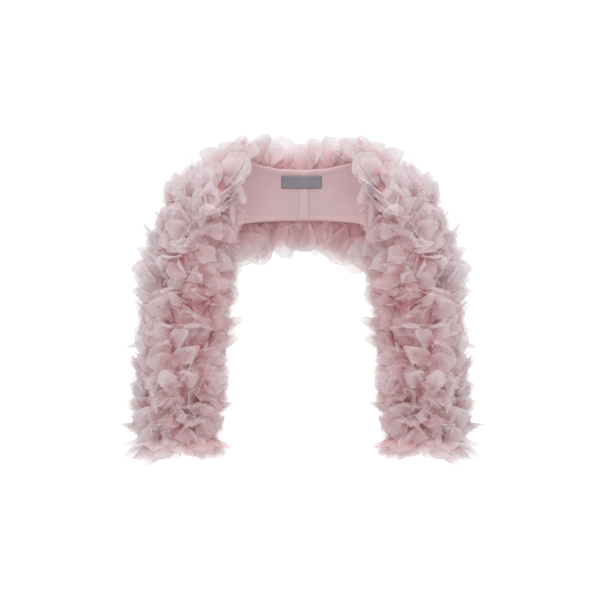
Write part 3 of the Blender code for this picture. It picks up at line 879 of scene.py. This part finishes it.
    def settle(self, grids):
        """Lifts what would sink into the cloth, and draws in what stands too far off it."""
        reach = self.field.reach
        point = self.point[self.tuft][:, None, None]
        normal = self.normal[self.tuft][:, None, None]
        height = np.sum((grids - point) * normal, axis=-1)
        lift = np.maximum(0, 0.0006 + 0.003 * PETAL_ROWS[None, :, None] - height)
        in_front = eased(-self.normal[:, 1], 0.2, 0.9) * eased(reach, 0.30, 0.50)
        crown = CROWN + OUTER_CROWN * eased(reach, 0.10, 0.18) * (1 - in_front)
        past = np.maximum(0, height - spread(crown[self.tuft]))
        past = past - CROWN_SOFTNESS * (1 - np.exp(-past / CROWN_SOFTNESS))
        return grids + normal * (lift - past)[..., None]

    def tones(self):
        """A tone for each petal from 0, rose, to 1, pale, random but weighted by place: more pale ones on top as
        painted light from above, more pale ones low down, and fewer, darker ones inside the arm as painted shade.
        """
        rng = self.rng
        reach = self.field.reach
        # Painted light and shade: petals on the shoulders and upper arm are made paler as if lit from above, and those
        # inside the arm rosier and darker as if in shade.
        painted_shade_inside_arm = eased(-self.rise, 0.0, 0.6) * eased(reach, 0.16, 0.24)
        on_top = 0.54 * eased(self.rise, -0.2, 0.4) * (1 - 0.36 * eased(reach, 0.27, 0.37))
        pale_share = 0.34 + on_top - 0.18 * painted_shade_inside_arm + 0.12 * eased(reach, 0.42, 0.52)
        pale = rng.random(self.total) < pale_share[self.tuft]
        tones = np.where(pale, rng.uniform(0.70, 1.0, self.total), rng.uniform(0.05, 0.60, self.total))
        return tones * (1 - 0.15 * painted_shade_inside_arm[self.tuft])

    def by_panel(self):
        """The points and tones of the petals kept on each panel."""
        grids = self.settle(self.surface())
        tones = self.tones()
        kept = self.rng.random(self.total) < self.edge_scale[self.tuft, 2]
        on_sleeve = kept & (self.field.reach > ARMHOLE)[self.tuft]
        on_front = kept & ~on_sleeve & (self.field.angle > SHOULDER_SEAM)[self.tuft]
        panels = {"sleeve": on_sleeve, "front": on_front, "back": kept & ~on_sleeve & ~on_front}
        return {panel: (grids[here], tones[here]) for panel, here in panels.items()}


def mirrored(grids):
    """The same petals on the garment's other half."""
    return grids[:, :, ::-1] * np.array([-1, 1, 1])


def finish_piece(piece, slot, *nodes):
    """Rides a piece on the garment and hides the solids it stands for; slot, the name of its finish, is not used."""
    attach(piece, "root")
    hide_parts(*nodes)


def add_camera(scene):
    camera = bpy.data.cameras.new("camera")
    camera.lens = CAMERA_LENS
    camera.sensor_width = CAMERA_SENSOR
    holder = bpy.data.objects.new("camera", camera)
    holder.location = CAMERA_PLACE
    holder.rotation_euler = (math.pi / 2, 0, 0)
    scene.collection.objects.link(holder)
    scene.camera = holder


def add_floor():
    """A floor that looks white to the camera and throws only its plain pale colour back on the cloth."""
    bpy.ops.object.select_all(action="DESELECT")
    bpy.ops.mesh.primitive_grid_add(x_subdivisions=8, y_subdivisions=8, size=60, location=(0, 0, FLOOR_HEIGHT))
    floor = bpy.context.object
    floor.name = "floor"
    material, shader = new_material("pale floor")
    shader.inputs["Base Color"].default_value = (0.9, 0.9, 0.9, 1)
    shader.inputs["Roughness"].default_value = 0.9
    in_sight = material.node_tree.nodes.new("ShaderNodeLightPath").outputs["Is Camera Ray"]
    material.node_tree.links.new(in_sight, shader.inputs["Emission Color"])
    shader.inputs["Emission Strength"].default_value = 0.6
    floor.data.materials.append(material)


def add_tent(scene):
    """White light from all round, a little stronger where the camera looks at it."""
    world = bpy.data.worlds.new("white tent")
    world.use_nodes = True
    tree = world.node_tree
    tent = tree.nodes["Background"]
    tent.inputs["Color"].default_value = (1, 1, 1, 1)
    seen = tree.nodes.new("ShaderNodeLightPath").outputs["Is Camera Ray"]
    tree.links.new(math_node(tree.nodes, "MULTIPLY_ADD", seen, 0.28, 0.74), tent.inputs["Strength"])
    scene.world = world


def add_lamp(scene, lamp):
    """A square lamp that faces the middle of the garment."""
    light = bpy.data.lights.new(lamp.name, "AREA")
    light.size = lamp.size
    light.energy = lamp.power
    holder = bpy.data.objects.new(lamp.name, light)
    holder.location = lamp.place
    x, y, z = LIT_PLACE - np.array(lamp.place)
    holder.rotation_euler = (math.atan2(math.hypot(x, y), -z), 0, math.atan2(y, x) - math.pi / 2)
    scene.collection.objects.link(holder)


class BOLERO_OT_stage(bpy.types.Operator):
    """Add the camera, a pale floor and soft white light"""

    bl_idname = "bolero.stage"
    bl_label = "Stage"

    def execute(self, context):
        scene = context.scene
        add_camera(scene)
        add_floor()
        add_tent(scene)
        for lamp in LAMPS:
            add_lamp(scene, lamp)
        scene.view_settings.view_transform = "Standard"
        scene.cycles.diffuse_bounces = 8
        scene.cycles.transparent_max_bounces = 24
        return {"FINISHED"}


class BOLERO_OT_shell(bpy.types.Operator):
    """Add the base cloth of the back, fronts and sleeves"""

    bl_idname = "bolero.shell"
    bl_label = "Base cloth"

    def execute(self, context):
        sizes = context.scene.bolero_sizes
        colour = tuple(context.scene.bolero_colours.shell)
        material = cloth_material(
            "shell cloth", colour, roughness=0.85, sheen=0.2, weave_scale=300, weave_strength=0.3
        )
        finish_piece(back_shell(sizes, material), "shell cloth", "back")
        for side in (1, -1):
            finish_piece(front_shell(side, sizes, material), "shell cloth", f"front_{side_name(side)}")
            finish_piece(sleeve_shell(side, sizes, material), "shell cloth", f"sleeve_{side_name(side)}")
        return {"FINISHED"}


class BOLERO_OT_lining(bpy.types.Operator):
    """Add the pleated satin lining"""

    bl_idname = "bolero.lining"
    bl_label = "Lining"

    def execute(self, context):
        material = lining_material(tuple(context.scene.bolero_colours.lining))
        piece = lining_sheet(context.scene.bolero_sizes, material)
        finish_piece(piece, "lining satin", "lining_back")
        return {"FINISHED"}


class BOLERO_OT_label(bpy.types.Operator):
    """Add the bare neck label"""

    bl_idname = "bolero.label"
    bl_label = "Label"

    def execute(self, context):
        colour = tuple(context.scene.bolero_colours.label)
        material = cloth_material(
            "label weave", colour, roughness=0.5, sheen=0.1, weave_scale=520, weave_strength=0.3
        )
        piece = label_sheet(material)
        finish_piece(piece, "label weave", "label")
        return {"FINISHED"}


class BOLERO_OT_petals(bpy.types.Operator):
    """Scatter the organza petals over the sleeves, back and fronts"""

    bl_idname = "bolero.petals"
    bl_label = "Petals"

    def execute(self, context):
        sizes = context.scene.bolero_sizes
        material = petal_material(context.scene.bolero_colours)
        nodes = sorted(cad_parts)
        half = Petals(TuftField(sizes, sizes.seed), sizes).by_panel()
        other_back = Petals(TuftField(sizes, sizes.seed + OTHER_BACK_SEED), sizes).by_panel()["back"]
        points = np.concatenate([half["back"][0], mirrored(other_back[0])])
        tones = np.append(half["back"][1], other_back[1])
        groups = [("back", points, tones, ("petals_back", "petals_shoulder"))]
        for panel in ("sleeve", "front"):
            points, tones = half[panel]
            groups.append((f"{panel}_left", points, tones, (f"petals_{panel}_left",)))
            groups.append((f"{panel}_right", mirrored(points), tones, (f"petals_{panel}_right",)))
        across = (PETAL_COLUMNS + 1) / 2
        for panel, points, tones, starts in groups:
            piece = mesh_from_grids(f"petals_{panel}", points, material, tones, across=across, down=PETAL_ROWS)
            finish_piece(piece, "petal organza", *[n for n in nodes if n.startswith(starts)])
        return {"FINISHED"}


class BOLERO_PT_panel(bpy.types.Panel):
    """Steps that build the bolero"""

    bl_label = "Petal bolero"
    bl_idname = "BOLERO_PT_panel"
    bl_space_type = "VIEW_3D"
    bl_region_type = "UI"
    bl_category = "Bolero"

    def draw(self, context):
        for step in STEPS:
            self.layout.operator(step.bl_idname)


STEPS = (BOLERO_OT_stage, BOLERO_OT_shell, BOLERO_OT_lining, BOLERO_OT_label, BOLERO_OT_petals)
CLASSES = (BoleroSizes, BoleroColours, *STEPS, BOLERO_PT_panel)


def register():
    for cls in CLASSES:
        bpy.utils.register_class(cls)
    bpy.types.Scene.bolero_sizes = bpy.props.PointerProperty(type=BoleroSizes)
    bpy.types.Scene.bolero_colours = bpy.props.PointerProperty(type=BoleroColours)


def unregister():
    del bpy.types.Scene.bolero_sizes
    del bpy.types.Scene.bolero_colours
    for cls in reversed(CLASSES):
        bpy.utils.unregister_class(cls)


def main():
    register()
    bpy.ops.bolero.stage()
    bpy.ops.bolero.shell()
    bpy.ops.bolero.lining()
    bpy.ops.bolero.label()
    bpy.ops.bolero.petals()


if __name__ == "__main__":
    main()
